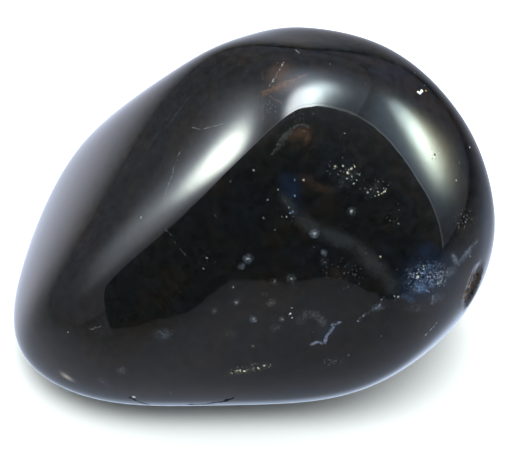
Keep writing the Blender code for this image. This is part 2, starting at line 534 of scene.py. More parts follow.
    clouds: tuple[Cloud, ...] = (
        Cloud("left grain cluster", 5.6, 2.0, 1.25, 0.75, -35, Weave.GRAINS, Mineral.SILVER, 1.2),
        Cloud("haze in the left cluster", 5.4, 1.6, 1.0, 0.6, 30, Weave.HAZE, Mineral.SMOKE, 0.35),
        Cloud("right grain cluster", 7.7, 0.75, 0.9, 0.55, 20, Weave.GRAINS, Mineral.SILVER, 1.3),
        Cloud("haze in the right cluster", 7.5, 0.8, 0.6, 0.4, 20, Weave.HAZE, Mineral.SMOKE, 0.45),
        Cloud("grains right of the clusters", 9.1, -1.0, 0.9, 0.6, 60, Weave.GRAINS, Mineral.SMOKE, 2.0),
        Cloud("grains below the band", 5.5, -5.1, 1.7, 0.9, -25, Weave.GRAINS, Mineral.SMOKE, 2.2),
        Cloud("brown below the band", 5.1, -5.2, 0.9, 0.6, -10, Weave.HAZE, Mineral.BROWN, 0.45),
        Cloud("end of the grains below the band", 8.5, -6.6, 1.1, 0.35, -15, Weave.GRAINS, Mineral.SMOKE,
              2.0),
        Cloud("grains by the bright spherulite", -4.2, -4.4, 0.6, 0.5, -45, Weave.GRAINS, Mineral.SMOKE,
              1.8),
        Cloud("grains on the band's head", 1.5, -0.8, 0.8, 0.5, -60, Weave.GRAINS, Mineral.SILVER, 1.8),
        Cloud("pale band, head", 1.6, -0.3, 1.2, 0.38, -55, Weave.VEIL, Mineral.SMOKE, 0.30),
        Cloud("pale band, upper", 3.0, -1.7, 1.3, 0.50, -35, Weave.VEIL, Mineral.SMOKE, 0.42),
        Cloud("pale band, middle", 5.0, -2.65, 1.9, 0.55, -20, Weave.VEIL, Mineral.SMOKE, 0.40),
        Cloud("pale band, lower", 7.3, -4.2, 2.1, 0.60, -45, Weave.VEIL, Mineral.SMOKE, 0.42),
        Cloud("pale band, foot", 8.7, -5.8, 1.0, 0.55, -60, Weave.VEIL, Mineral.SMOKE, 0.35),
        Cloud("navy by the blue patch", 1.7, 1.0, 1.0, 0.7, -60, Weave.VEIL, Mineral.NAVY, 0.7),
        Cloud("navy under the band's head", 2.0, -0.4, 0.8, 0.5, -50, Weave.VEIL, Mineral.NAVY, 0.4),
        Cloud("red by the blue patch", 2.8, 1.5, 0.6, 0.5, 0, Weave.VEIL, Mineral.BROWN, 0.3),
        Cloud("brown streak by the blue patch", 3.8, 1.0, 1.0, 0.28, -15, Weave.VEIL, Mineral.BROWN, 0.45),
        Cloud("rusty arc, fill", 2.3, 4.85, 0.85, 0.42, 20, Weave.VEIL, Mineral.BROWN, 0.8),
        Cloud("rusty arc, end", 2.85, 4.6, 0.5, 0.25, 80, Weave.VEIL, Mineral.BROWN, 0.9),
        Cloud("grey in the rusty arc", 1.2, 4.4, 1.1, 0.20, 52, Weave.HAZE, Mineral.SMOKE, 0.6),
        Cloud("blue cluster", 11.3, -5.4, 1.35, 0.95, 15, Weave.CRYSTALS, Mineral.BLUE, 0.65),
        Cloud("sparkle in the blue cluster", 11.3, -5.4, 1.3, 0.9, 15, Weave.DUST, Mineral.LAVENDER, 1.3),
        Cloud("dense end of the blue cluster", 12.4, -5.3, 0.6, 0.5, 60, Weave.CRYSTALS, Mineral.SILVER,
              1.0),
        Cloud("bright grains in the blue cluster", 10.9, -5.0, 0.9, 0.7, 20, Weave.GRAINS, Mineral.SILVER,
              1.8),
        Cloud("blue cluster's pale patch", 10.85, -6.15, 0.5, 0.35, -20, Weave.HAZE, Mineral.BLUE, 0.55),
        Cloud("navy round the blue cluster", 11.4, -5.3, 2.4, 1.7, 20, Weave.VEIL, Mineral.NAVY, 0.8),
        Cloud("navy above the blue cluster", 11.3, -3.6, 0.9, 0.6, 45, Weave.VEIL, Mineral.NAVY, 0.7),
        Cloud("navy below the blue cluster", 10.2, -6.6, 0.9, 0.5, -30, Weave.VEIL, Mineral.NAVY, 1.0),
        Cloud("mist right of the blue cluster", 13.1, -5.0, 0.5, 0.3, 40, Weave.HAZE, Mineral.MIST, 0.25),
        Cloud("mist on the hook's left leg", 13.35, -4.15, 0.55, 0.22, -58, Weave.HAZE, Mineral.MIST, 0.5),
        Cloud("mist on the hook's right leg", 14.25, -3.65, 1.0, 0.22, 52, Weave.HAZE, Mineral.MIST, 0.45),
        Cloud("mist below the blue cluster", 10.6, -7.6, 0.7, 0.3, 0, Weave.HAZE, Mineral.MIST, 0.16),
        Cloud("mist under the cluster's tail", 12.0, -6.9, 0.7, 0.4, 30, Weave.HAZE, Mineral.MIST, 0.16),
        Cloud("curl of grey, left", 2.5, -8.3, 0.55, 0.30, 60, Weave.HAZE, Mineral.SMOKE, 0.9),
        Cloud("curl of grey, middle", 3.2, -8.05, 0.75, 0.28, -10, Weave.HAZE, Mineral.SMOKE, 1.0),
        Cloud("curl of grey, right", 3.85, -8.45, 0.50, 0.32, -60, Weave.HAZE, Mineral.SMOKE, 1.0),
        Cloud("navy along the vein", 4.3, -9.4, 1.1, 0.40, 50, Weave.VEIL, Mineral.NAVY, 0.7),
        Cloud("grey under the star", 0.6, -9.0, 0.35, 0.25, 20, Weave.HAZE, Mineral.SMOKE, 0.6),
        Cloud("grey left of the star", -2.6, -9.4, 0.35, 0.25, 0, Weave.HAZE, Mineral.SMOKE, 0.45),
        Cloud("row of dust near the bottom", -1.3, -11.9, 1.4, 0.26, 12, Weave.DUST, Mineral.STRAW, 1.3),
        Cloud("haze in that row", -1.2, -11.85, 1.5, 0.35, 12, Weave.HAZE, Mineral.SMOKE, 0.45),
        Cloud("faint patch beside the row", 4.5, -11.5, 0.8, 0.35, 10, Weave.DUST, Mineral.SMOKE, 1.5),
        Cloud("mist on the lower left", -7.4, -9.5, 0.65, 0.40, 10, Weave.HAZE, Mineral.MIST, 0.35),
        Cloud("mist near the nose, upper", -10.4, -12.0, 0.45, 0.25, -20, Weave.HAZE, Mineral.MIST, 0.3),
        Cloud("mist near the nose, lower", -11.6, -12.9, 0.55, 0.20, -30, Weave.HAZE, Mineral.MIST, 0.25),
        Cloud("mist right of the vein", 7.9, -7.5, 0.6, 0.3, 10, Weave.HAZE, Mineral.MIST, 0.25),
        Cloud("stain round the fracture", 0.9, 9.0, 1.1, 0.8, 50, Weave.VEIL, Mineral.BROWN, 0.9),
        Cloud("stain below the rusty arm", 1.7, 8.2, 1.2, 0.35, 25, Weave.VEIL, Mineral.BROWN, 0.9),
        Cloud("rust along the fracture's arm", 0.9, 8.2, 1.5, 0.22, 24, Weave.HAZE, Mineral.RUST, 0.32),
        Cloud("dust by the fracture", 0.6, 6.6, 0.9, 0.6, -30, Weave.DUST, Mineral.MIST, 0.4),
        Cloud("dust along the facet's upper edge", 2.4, 6.05, 0.9, 0.3, 12, Weave.DUST, Mineral.SMOKE,
              1.0),
        Cloud("dust by the pits", 11.9, 3.2, 0.7, 0.5, 60, Weave.DUST, Mineral.SMOKE, 1.2),
        Cloud("pale streak on the left flank, upper", -6.4, 6.3, 1.6, 0.09, 52, Weave.HAZE, Mineral.SMOKE,
              0.22),
        Cloud("pale streak on the left flank, lower", -8.2, 4.2, 1.3, 0.08, 58, Weave.HAZE, Mineral.SMOKE,
              0.18),
        Cloud("spall's rough floor", 14.5, -6.0, 1.7, 0.6, 62, Weave.FLOOR, Mineral.BROKEN, 1.8),
        Cloud("rust in the spall", 14.3, -6.1, 1.4, 0.35, 62, Weave.DUST, Mineral.RUST, 1.0),
        Cloud("dust by the right rim", 14.0, -1.3, 0.9, 0.6, 40, Weave.DUST, Mineral.MIST, 0.8),
    )


@dataclass
class MarkPainter:
    """Turns marks into levels from 0 to 1 on the stone's surface, and lays them over one another.

    Wander is how far a mark's edge strays, in millimetres, and a cloud goes as deep as its depth. An edge
    is where a level starts and ends, as shares of a streak's half width or a spherulite's reach.
    """

    tree: bpy.types.NodeTree
    form: WornForm
    sight: Sight
    centre: np.ndarray
    wander: float = 0.10
    cloud_depth: float = 5.0
    cloud_fade: float = 1.5
    spot_core: float = 0.1
    streak_edge: tuple[float, float] = (1.3, 0.4)
    halo_edge: tuple[float, float] = (1.1, 0.4)
    hollow_edge: tuple[float, float] = (0.3, 0.7)
    hollow_level: float = 0.25
    core_share: float = 0.38
    levels: dict[Mineral, bpy.types.Node] = field(default_factory=dict)

    def __post_init__(self) -> None:
        """Makes the coordinates and the textures that the marks share."""
        put = partial(add, self.tree)
        place = put("TexCoord").outputs["Object"]
        place = put("VectorMath", place, (1 / MM,) * 3, tuple(-self.centre), operation="MULTIPLY_ADD")
        fine = put("TexNoise", place, inputs={"Scale": 3.5, "Detail": 4.0, "Roughness": 0.7})
        drift = put("VectorMath", fine.outputs["Color"], (0.5, 0.5, 0.5), operation="SUBTRACT")
        self.place = place
        self.wandered = put("VectorMath", drift, (self.wander * 4,) * 3, place, operation="MULTIPLY_ADD")
        self.cloudy = put("TexNoise", place, inputs={"Scale": 1.6, "Detail": 5.0, "Roughness": 0.65})
        self.gaps = put("MapRange", put("TexNoise", place, inputs={"Scale": 4.5, "Detail": 1.0}), 0.44, 0.56,
                        0.05, 1.0)
        uneven = put("TexNoise", place, inputs={"Scale": 5.0, "Detail": 2.0})
        self.uneven = put("MapRange", uneven, 0.35, 0.62, 0.2, 1.1)
        self.weaves = {
            Weave.VEIL: put("MapRange", self.cloudy, 0.25, 0.75, 0.5, 1.1),
            Weave.HAZE: self.haze(),
            Weave.GRAINS: self.grains(4.0, 0.8, 0.20),
            Weave.DUST: self.grains(5.0, 0.8, 0.30),
            Weave.CRYSTALS: self.crystals(),
            Weave.FLOOR: put("MapRange", fine, 0.35, 0.60, 0.0, 1.0),
        }

    def grains(self, per_mm: float, share: float, reach: float) -> bpy.types.Node:
        """Scattered round grains of uneven size and brightness.

        Args:
            per_mm: Cells in a millimetre. The real grains go finer than this, and are drawn coarser to show.
            share: Share of the cells that hold a grain.
            reach: A grain's reach, in cells.

        Returns:
            The node whose output is the grains' level.
        """
        put = partial(add, self.tree)
        cells = put("TexVoronoi", self.wandered, inputs={"Scale": per_mm, "Randomness": 1.0})
        chance, size, _ = put("SeparateColor", cells.outputs["Color"]).outputs
        present = put("MapRange", chance, 1 - share, 1.0, 0.0, 1.0)
        reach_here = put("MapRange", size, 0.0, 1.0, reach * 0.8, reach * 2.0)
        grain = put("MapRange", cells.outputs["Distance"], reach_here, 0.0, 0.0, 1.6,
                    interpolation_type="SMOOTHSTEP")
        return put("Math", grain, put("Math", present, 0.5, operation="POWER"), operation="MULTIPLY")

    def haze(self) -> bpy.types.Node:
        """Haze: broad clouds, broken up by a fine grain.

        Returns:
            The node whose output is the haze's level.
        """
        put = partial(add, self.tree)
        broad = put("MapRange", self.cloudy, 0.30, 0.68, 0.2, 1.0)
        grain = put("TexNoise", self.place, inputs={"Scale": 5.5, "Detail": 2.0, "Roughness": 0.6})
        return put("Math", broad, put("MapRange", grain, 0.38, 0.64, 0.25, 1.25), operation="MULTIPLY")

    def crystals(self) -> bpy.types.Node:
        """Ragged crystals: the bright parts of a fine, rough noise.

        Returns:
            The node whose output is the crystals' level.
        """
        put = partial(add, self.tree)
        rough = put("TexNoise", self.wandered, inputs={"Scale": 3.6, "Detail": 6.0, "Roughness": 0.75,
                                                      "Lacunarity": 2.3})
        return put("Math", put("MapRange", rough, 0.49, 0.68, 0.0, 1.0), 1.4, operation="POWER")

    def landed(self, *places: tuple[float, float]) -> np.ndarray:
        """The surface points at the given places, as seen."""
        return self.sight.land(self.form, np.array(places, dtype=float))

    def lay(self, mineral: Mineral, level: bpy.types.Node) -> None:
        """Adds a level of a mineral to what is there of it.

        Args:
            mineral: The mineral.
            level: The node whose output is the level.
        """
        if mineral in self.levels:
            level = add(self.tree, "Math", self.levels[mineral], level, operation="MAXIMUM")
        self.levels[mineral] = level

    def spot(self, mark: Spot) -> None:
        """Lays a spot that falls from full in its middle to nothing at its reach.

        Args:
            mark: The spot.
        """
        point = self.landed((mark.across, mark.up))[0]
        away = add(self.tree, "VectorMath", self.wandered, tuple(point), operation="DISTANCE")
        self.lay(mark.mineral, add(self.tree, "MapRange", away, mark.reach, self.spot_core * mark.reach,
                                   0.0, mark.strength, interpolation_type="SMOOTHSTEP"))

    def spherulite(self, mark: Spherulite) -> None:
        """Lays a spherulite: a halo, thinned in the middle if it is a ring, and a core of bright grains.

        Args:
            mark: The spherulite.
        """
        put = partial(add, self.tree)
        point = self.landed((mark.across, mark.up))[0]
        away = put("VectorMath", self.wandered, tuple(point), operation="DISTANCE")
        start, full = (share * mark.reach for share in self.halo_edge)
        halo = put("MapRange", away, start, full, 0.0, mark.halo, interpolation_type="SMOOTHSTEP")
        if mark.ring:
            start, full = (share * mark.reach for share in self.hollow_edge)
            hollow = put("MapRange", away, start, full, self.hollow_level, 1.0,
                         interpolation_type="SMOOTHSTEP")
            halo = put("Math", halo, hollow, operation="MULTIPLY")
        self.lay(mark.mineral, put("Math", halo, self.weaves[Weave.HAZE], operation="MULTIPLY"))
        if mark.core:
            core = put("MapRange", away, self.core_share * mark.reach, 0.0, 0.0, mark.core,
                       interpolation_type="SMOOTHSTEP")
            self.lay(Mineral.SILVER, core)

    def streak(self, mark: Streak) -> None:
        """Lays a streak, leg by leg: the level falls with the distance from the leg's nearest point.

        Args:
            mark: The streak.
        """
        put = partial(add, self.tree)
        points = self.landed(*mark.places)
        rim, full = (share * mark.half_width for share in self.streak_edge)
        for start, end in zip(points, points[1:]):
            leg = end - start
            gone = put("VectorMath", self.wandered, tuple(start), operation="SUBTRACT")
            share = put("VectorMath", gone, tuple(leg / (leg @ leg)), operation="DOT_PRODUCT")
            share = put("Math", put("Math", share, 0.0, operation="MAXIMUM"), 1.0, operation="MINIMUM")
            nearest = put("VectorMath", tuple(leg), share, operation="SCALE")
            away = put("VectorMath", gone, nearest, operation="DISTANCE")
            level = put("MapRange", away, rim, full, 0.0, mark.strength, interpolation_type="SMOOTHSTEP")
            if mark.broken:
                level = put("Math", level, self.gaps, operation="MULTIPLY")
            elif mark.mineral is not Mineral.BLACK:
                level = put("Math", level, self.uneven, operation="MULTIPLY")
            self.lay(mark.mineral, level)

    def cloud(self, mark: Cloud) -> None:
        """Lays a cloud: its weave, fading from the middle of an egg-shaped body to its skin.

        Args:
            mark: The cloud.
        """
        put = partial(add, self.tree)
        point = self.landed((mark.across, mark.up))[0]
        upright = Matrix(self.sight.axes().T.tolist()) @ Matrix.Diagonal((1.0, 1.0, -1.0))
        turned = upright @ Matrix.Rotation(math.radians(mark.tilt), 3, "Z")
        size = (mark.half_length * self.cloud_fade, mark.half_width * self.cloud_fade, self.cloud_depth)
        body = put("Mapping", self.wandered, tuple(point), tuple(turned.to_euler()), size,
                   vector_type="TEXTURE")
        away = put("VectorMath", body, operation="LENGTH")
        level = put("MapRange", away, 1.0, 0.0, 0.0, mark.strength, interpolation_type="SMOOTHSTEP")
        self.lay(mark.mineral, put("Math", level, self.weaves[mark.weave], operation="MULTIPLY"))

    def paint(self, marks: FrontMarks, ground: bpy.types.Node) -> bpy.types.Node:
        """Lays every mark and mixes the minerals over the ground, the palest on top.

        Args:
            marks: The marks.
            ground: The node whose output is the body's colour.

        Returns:
            The node whose output is the marked colour.
        """
        for mark in marks.spherulites:
            self.spherulite(mark)
        for mark in marks.spots:
            self.spot(mark)
        for mark in marks.streaks:
            self.streak(mark)
        for mark in marks.clouds:
            self.cloud(mark)
        for mineral in Mineral:
            if mineral in self.levels:
                ground = add(self.tree, "Mix", self.levels[mineral], ground, srgb(mineral.value),
                             data_type="VECTOR")
        return ground


@dataclass(frozen=True)
class PolishedOnyx:
    """Black onyx: a dyed or natural black chalcedony, tumbled with fine grit and polished.

    To the eye it is a deep black with faint brown and blue casts under a hard glassy gloss, with clouds and
    grains of paler quartz just under the polish.
    """

    name: str = "tumbled_polished_black_onyx"
    body: str = "0c0e0f"
    body_brown: str = "14110e"
    body_blue: str = "0e1116"
    speck: str = "5d6366"
    ior: float = 1.54
    roughness: float = 0.03
    broken_roughness: float = 0.5
    specular_level: float = 0.5
    broken_dulling: float = 0.85
    ripple: float = 0.008
    ripples_per_mm: float = 0.45

    def material(self, painter_for: partial, marks: FrontMarks) -> bpy.types.Material:
        """Builds the material.

        Args:
            painter_for: Makes the mark painter for a node tree.
            marks: The marks in the front.

        Returns:
            The material.
        """
        material = bpy.data.materials.new(self.name)
        material.use_nodes = True
        tree = material.node_tree
        tree.nodes.clear()
        put = partial(add, tree)
        painter = painter_for(tree)
        marked = painter.paint(marks, self.ground(tree, painter))
        # The black level holds cracks and pits, and also the painted shade on the spall's lip; all of it is
        # roughened and loses its gloss.
        cracks_and_painted_shade = painter.levels[Mineral.BLACK]
        broken = put("Math", painter.levels[Mineral.WHITE], cracks_and_painted_shade, operation="MAXIMUM")
        broken = put("Math", broken, painter.levels[Mineral.BROKEN], operation="MAXIMUM")
        rough = put("MapRange", broken, 0.0, 1.0, self.roughness, self.broken_roughness)
        wave = put("TexNoise", painter.place, inputs={"Scale": self.ripples_per_mm, "Detail": 2.0})
        bump = put("Bump", inputs={"Strength": 1.0, "Distance": self.ripple * MM, "Height": wave})
        dull = put("Math", painter.levels[Mineral.BROKEN], self.broken_dulling, operation="MULTIPLY")
        dull = put("Math", dull, cracks_and_painted_shade, operation="MAXIMUM")
        gloss = put("MapRange", dull, 0.0, 1.0, self.specular_level, 0.0)
        shader = put("BsdfPrincipled", inputs={"Base Color": marked, "Roughness": rough, "IOR": self.ior,
                                               "Specular IOR Level": gloss, "Normal": bump})
        put("OutputMaterial", shader)
        return material

    def ground(self, tree: bpy.types.NodeTree, painter: MarkPainter) -> bpy.types.Node:
        """The body's colour: black, with brown and blue casts some millimetres wide and sparse faint specks.

        Args:
            tree: The material's node tree.
            painter: Holds the shared coordinates and textures.

        Returns:
            The node whose output is the colour.
        """
        put = partial(add, tree)
        casts = put("TexNoise", painter.place, inputs={"Scale": 0.35, "Detail": 3.0, "Roughness": 0.6})
        brown, blue, _ = put("SeparateColor", casts.outputs["Color"]).outputs
        colour = put("Mix", put("MapRange", brown, 0.45, 0.65, 0.0, 1.0), srgb(self.body),
                     srgb(self.body_brown), data_type="VECTOR")
        colour = put("Mix", put("MapRange", blue, 0.5, 0.7, 0.0, 0.8), colour, srgb(self.body_blue),
                     data_type="VECTOR")
        shade = put("MapRange", painter.cloudy, 0.3, 0.7, 0.35, 1.7)
        colour = put("VectorMath", colour, shade, operation="SCALE")
        specks = painter.grains(0.9, 0.30, 0.05)
        return put("Mix", put("Math", specks, 0.6, operation="MULTIPLY"), colour, srgb(self.speck),
                   data_type="VECTOR")


@dataclass
class OnyxStone:
    """The stone: its fine surface, its place on the frame, and its finish.

    The centre is the form's, in millimetres in the frame, and is known once the stone is built.
    """

    form: WornForm
    finish: PolishedOnyx
    marks: FrontMarks
    sight: Sight
    columns: int = 448
    body_rows: int = 190
    facet_rows: int = 10
    front_share: float = 0.35
    facet_edge_angle: float = 20.0
    centre: np.ndarray = field(init=False)

    def rim_elevation(self, azimuths: np.ndarray) -> np.ndarray:
        """Elevation at which the form meets the rest facet's plane, by bisection over the whole array.

        Args:
            azimuths: In radians.

        Returns:
            Elevations in radians.
        """
        low = np.full(azimuths.shape, math.radians(-80))
        high = np.full(azimuths.shape, math.radians(-10))
        for _ in range(40):
            middle = (low + high) / 2
            directions = self.directions(azimuths, middle)
            below = self.form.radius(directions) * directions[..., 2] < -self.form.rest_drop
            low = np.where(below, middle, low)
            high = np.where(below, high, middle)
        return high

    @staticmethod
    def directions(azimuths: np.ndarray, elevations: np.ndarray) -> np.ndarray:
        """Unit vectors for arrays of azimuth and elevation in radians."""
        level = np.cos(elevations)
        return np.stack((np.sin(azimuths) * level, -np.cos(azimuths) * level, np.sin(elevations)), axis=-1)

    def grid(self) -> np.ndarray:
        """Points of the closed surface about the form's centre, one row of columns for each step upwards.

        Azimuth a runs round as t - share * sin t, which puts more columns on the front. On the body the
        elevation runs evenly from the rest facet's rim to the crown, and a point is radius * direction. On
        the facet a point is the rim's point drawn in towards the axis by the row's share.

        Returns:
            An array of rows, columns and x, y, z.
        """
        turn = np.arange(self.columns) / self.columns * 2 * math.pi
        azimuths = turn - self.front_share * np.sin(turn)
        rim = self.rim_elevation(azimuths)
        up = np.linspace(0.0, 1.0, self.body_rows + 1)[:-1, None]
        elevations = rim + (math.pi / 2 - rim) * up
        directions = self.directions(np.broadcast_to(azimuths, elevations.shape), elevations)
        body = directions * self.form.radius(directions)[..., None]
        body[0, :, 2] = -self.form.rest_drop
        inward = np.linspace(0.0, 1.0, self.facet_rows + 1)[1:, None, None]
        facet = body[0] * inward
        facet[..., 2] = -self.form.rest_drop
        return np.concatenate((facet[:-1], body))

    def build(self) -> bpy.types.Object:
        """Makes the stone, sets it where the frame's solid is, and dresses it.

        Returns:
            The stone's object.
        """
        points = self.grid()
        rows, columns = points.shape[:2]
        crown = np.array((0.0, 0.0, self.form.radius(np.array([[0.0, 0.0, 1.0]]))[0]))
        foot = np.array((0.0, 0.0, -self.form.rest_drop))
        vertices = np.concatenate((points.reshape(-1, 3), [foot, crown]))
        low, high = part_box("onyx_stone")
        middle = (vertices.min(axis=0) + vertices.max(axis=0)) / 2
        across, deep = ((low[i] + high[i]) / 2 / MM - middle[i] for i in (0, 1))
        self.centre = np.array((across, deep, low[2] / MM + self.form.rest_drop))
        vertices = (vertices + self.centre) * MM

        row, column = np.meshgrid(np.arange(rows - 1), np.arange(columns), indexing="ij")
        here = row * columns + column
        beside = row * columns + (column + 1) % columns
        quads = np.stack((here, beside, beside + columns, here + columns), axis=-1).reshape(-1, 4)
        ring = np.arange(columns)
        after = (ring + 1) % columns
        last = (rows - 1) * columns
        foot_fan = np.stack((after, ring, np.full(columns, rows * columns)), axis=-1)
        crown_fan = np.stack((last + ring, last + after, np.full(columns, rows * columns + 1)), axis=-1)
        mesh = bpy.data.meshes.new("tumbled_onyx")
        mesh.from_pydata(vertices.tolist(), [], quads.tolist() + foot_fan.tolist() + crown_fan.tolist())
        mesh.shade_smooth()
        mesh.set_sharp_from_angle(angle=math.radians(self.facet_edge_angle))
        painter_for = partial(MarkPainter, form=self.form, sight=self.sight, centre=self.centre)
        mesh.materials.append(self.finish.material(painter_for, self.marks))
        stone = bpy.data.objects.new("tumbled_onyx", mesh)
        bpy.context.scene.collection.objects.link(stone)
        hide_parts("onyx_stone")
        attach(stone, "root")
        return stone


@dataclass(frozen=True)
class Lamp:
    """A soft lamp far off: its direction in degrees, its brightness, how far it spreads and its tint.

    Light falls off as exp(-((1 - cosine to the direction) / spread) ^ crispness).
    """

    name: str
    azimuth: float
    elevation: float
    strength: float
    spread: float
    tint: str
    crispness: int = 1


@dataclass(frozen=True)
class TentLight:
    """Light in a pale tent whose front is open and dark, which is what the polish mirrors.

    Mirrored rays see the tent, its lamps, the dark opening with its pale frame, and the table below the
    horizon. Every other ray sees an even sky that is stronger behind than in front, which lights the table
    and the stone's body. Directions are (azimuth, elevation) in degrees, and a slope is the gain in
    brightness towards +X, +Y and +Z. A span is where something starts and where it is full, along the
    looked-at direction's x, y or z part.
    """

    sky_level: float = 3.4
    sky_slope: tuple[float, float, float] = (0.3, 4.0, -1.2)
    sky_tint: str = "f6ffff"
    glow: float = 0.28
    glow_tint: str = "eeeaff"
    glow_slope: tuple[float, float, float] = (-0.05, -0.11, 0.2)
    lamps: tuple[Lamp, ...] = (
        Lamp("left lamp", -77, 49, 16.0, 0.025, "f5ffe2", 2),
        Lamp("haze round the left lamp", -79, 49, 18.0, 0.030, "e8f4ff"),
        Lamp("tail of the left lamp's haze", -60, 27, 0.8, 0.012, "ecf2ff"),
        Lamp("upper lamp", 75, 76, 16.0, 0.02, "f5fdff", 2),
        Lamp("upper lamp's far edge", 103, 67, 16.0, 0.01, "e8feff"),
        Lamp("haze round the upper lamp", 135, 74, 4.0, 0.055, "dcecff"),
        Lamp("right lamp", 103, 28, 4.5, 0.01, "dcf7ff", 2),
        Lamp("haze round the right lamp", 99, 23, 20.0, 0.01, "edffed"),
        Lamp("warm foot of the right lamp", 104, 18, 3.0, 0.01, "fff0b8"),
        Lamp("wide haze on the right", 93, 30, 1.7, 0.05, "c3e7ff"),
        Lamp("shade in a crease by the upper lamp", 94, 61, -0.8, 0.0015, "ffffff"),
        Lamp("shade beside the upper lamp", 86, 55, -0.3, 0.006, "ffffff"),
        Lamp("shade high at the back", -150, 33, -0.12, 0.13, "d4d8ff"),
    )
    fold: tuple[float, float] = (69.0, -53.5)
    fold_edge: float = -0.234
    fold_softness: float = 0.006
    fold_shade: float = 0.35
    fold_fade: tuple[float, float] = (0.10, 0.02)
    opening: tuple[float, float] = (16.5, 26.0)
    opening_edge: float = 0.575
    opening_sag: float = 0.02
    opening_sag_span: tuple[float, float] = (0.5, 0.3)
    corner_panel: tuple[float, float] = (62.0, 48.0)
    corner_edge: float = 0.045
    corner_sag: float = 0.02
    corner_sag_span: tuple[float, float] = (0.2, 0.0)
    dark_level: float = 0.06
    dark_slope: tuple[float, float, float] = (-0.9, 5.8, 0.0)
    dark_fall: float = 0.2
    dark_tint: str = "f4fbff"
    frame_width: float = 0.016
    frame_light: float = 0.45
    piping_width: float = 0.0045
    piping_light: float = 0.9
    frame_tint: str = "f8fbff"
    frame_side_share: float = 0.6
    frame_span: tuple[float, float] = (0.05, 0.5)
    seam_width: float = 0.004
    seam_shade: float = 0.45
    table_level: float = 0.14
    table_slope: tuple[float, float, float] = (-0.1, -0.1, 0.0)
    table_rise: float = 2.5
    table_tint: str = "e8eaff"
    table_fall: float = 1.0
    table_fall_tint: str = "ffe6ec"
    table_lights: tuple[Lamp, ...] = (
        Lamp("glint on the table", -52, -31, 4.5, 0.0014, "fff4e6"),
        Lamp("lit table behind on the left", -129, -22, 0.43, 0.08, "f4f0fa"),
        Lamp("lit far edge of the table", 155, -5, 0.10, 0.01, "ffffff"),
        Lamp("lit table under the front", 5, -74, 1.2, 0.03, "d0e2ff"),
        Lamp("lit table under the right", 105, -60, 1.6, 0.06, "d4e4ff"),
        Lamp("lit table beside the right", 107, -21, 0.45, 0.012, "a0c8ff"),
        Lamp("shaded table behind", 177, -12, -0.07, 0.05, "ccd8ff"),
    )
    edge_softness: float = 0.0006
    right_drop: float = -0.06
    right_drop_span: tuple[float, float] = (0.05, 0.5)
    left_rise: float = 0.038
    left_rise_span: tuple[float, float] = (-0.03, -0.22)
    horizon_drop: float = 0.01
    horizon_slope: tuple[float, float, float] = (0.0, 0.02, -1.0)
    horizon_softness: tuple[float, float] = (0.004, 0.04)
    horizon_softness_span: tuple[float, float] = (0.0, 0.6)

    def build(self) -> None:
        """Makes the world's shader, which looks up light by direction."""
        world = bpy.data.worlds.new("tent_light")
        bpy.context.scene.world = world
        world.use_nodes = True
        tree = world.node_tree
        tree.nodes.clear()
        put = partial(add, tree)
        look = put("TexCoord").outputs["Generated"]
        sideways, depth, height = put("SeparateXYZ", look).outputs

        above = put("VectorMath", look, self.glow_slope, operation="DOT_PRODUCT")
        above = put("VectorMath", (1.0, 1.0, 1.0), above, operation="SCALE")
        glow = tuple(self.glow * part for part in srgb(self.glow_tint))
        above = put("VectorMath", above, glow, operation="ADD")
        for lamp in self.lamps:
            above = put("VectorMath", above, self.lobe(tree, look, lamp), operation="ADD")

        beyond = put("VectorMath", look, tuple(compass(*self.fold)), operation="DOT_PRODUCT")
        shade = put("MapRange", beyond, self.fold_edge, self.fold_edge + self.fold_softness, 0.0,
                    self.fold_shade, interpolation_type="SMOOTHSTEP")
        fade = put("MapRange", beyond, *(self.fold_edge + reach for reach in self.fold_fade), 0.0, 1.0,
                   interpolation_type="SMOOTHSTEP")
        above = put("VectorMath", above, put("Math", 1.0, put("Math", shade, fade, operation="MULTIPLY"),
                                             operation="SUBTRACT"), operation="SCALE")

        sag = put("MapRange", height, *self.opening_sag_span, -self.opening_edge,
                  self.opening_sag - self.opening_edge, interpolation_type="SMOOTHSTEP")
        round_edge = put("VectorMath", look, tuple(compass(*self.opening)), operation="DOT_PRODUCT")
        round_edge = put("Math", round_edge, sag, operation="ADD")
        droop = put("MapRange", height, *self.corner_sag_span, -self.corner_edge,
                    self.corner_sag - self.corner_edge, interpolation_type="SMOOTHSTEP")
        straight_edge = put("VectorMath", look, tuple(compass(*self.corner_panel)), operation="DOT_PRODUCT")
        straight_edge = put("Math", straight_edge, droop, operation="ADD")
        inward = put("Math", round_edge, straight_edge, operation="MINIMUM")
        above = self.framed(tree, above, inward, sideways, height)
        dark = put("VectorMath", look, self.dark_slope, operation="DOT_PRODUCT")
        dark = put("Math", put("Math", dark, self.dark_fall, operation="SUBTRACT"), operation="EXPONENT")
        dark = put("Math", dark, self.dark_level, operation="ADD")
        dark = put("VectorMath", srgb(self.dark_tint), dark, operation="SCALE")
        inside = put("MapRange", inward, -self.edge_softness, self.edge_softness, 0.0, 1.0,
                     interpolation_type="SMOOTHSTEP")
        above = put("Mix", inside, above, dark, data_type="VECTOR")

        drop = put("MapRange", sideways, *self.right_drop_span, 0.0, self.right_drop,
                   interpolation_type="SMOOTHSTEP")
        rise = put("MapRange", sideways, *self.left_rise_span, 0.0, self.left_rise,
                   interpolation_type="SMOOTHSTEP")
        drop = put("Math", drop, rise, operation="ADD")
        drop = put("Math", drop, inside, self.horizon_drop, operation="MULTIPLY_ADD")
        horizon = put("VectorMath", look, self.horizon_slope, operation="DOT_PRODUCT")
        horizon = put("Math", horizon, drop, operation="ADD")
        soft = put("MapRange", depth, *self.horizon_softness_span, *self.horizon_softness,
                   interpolation_type="SMOOTHSTEP")
        hard = put("Math", soft, -1.0, operation="MULTIPLY")
        below = put("MapRange", horizon, hard, soft, 0.0, 1.0, interpolation_type="SMOOTHSTEP")
        mirrored = put("Mix", below, above, self.table(tree, look, height), data_type="VECTOR")

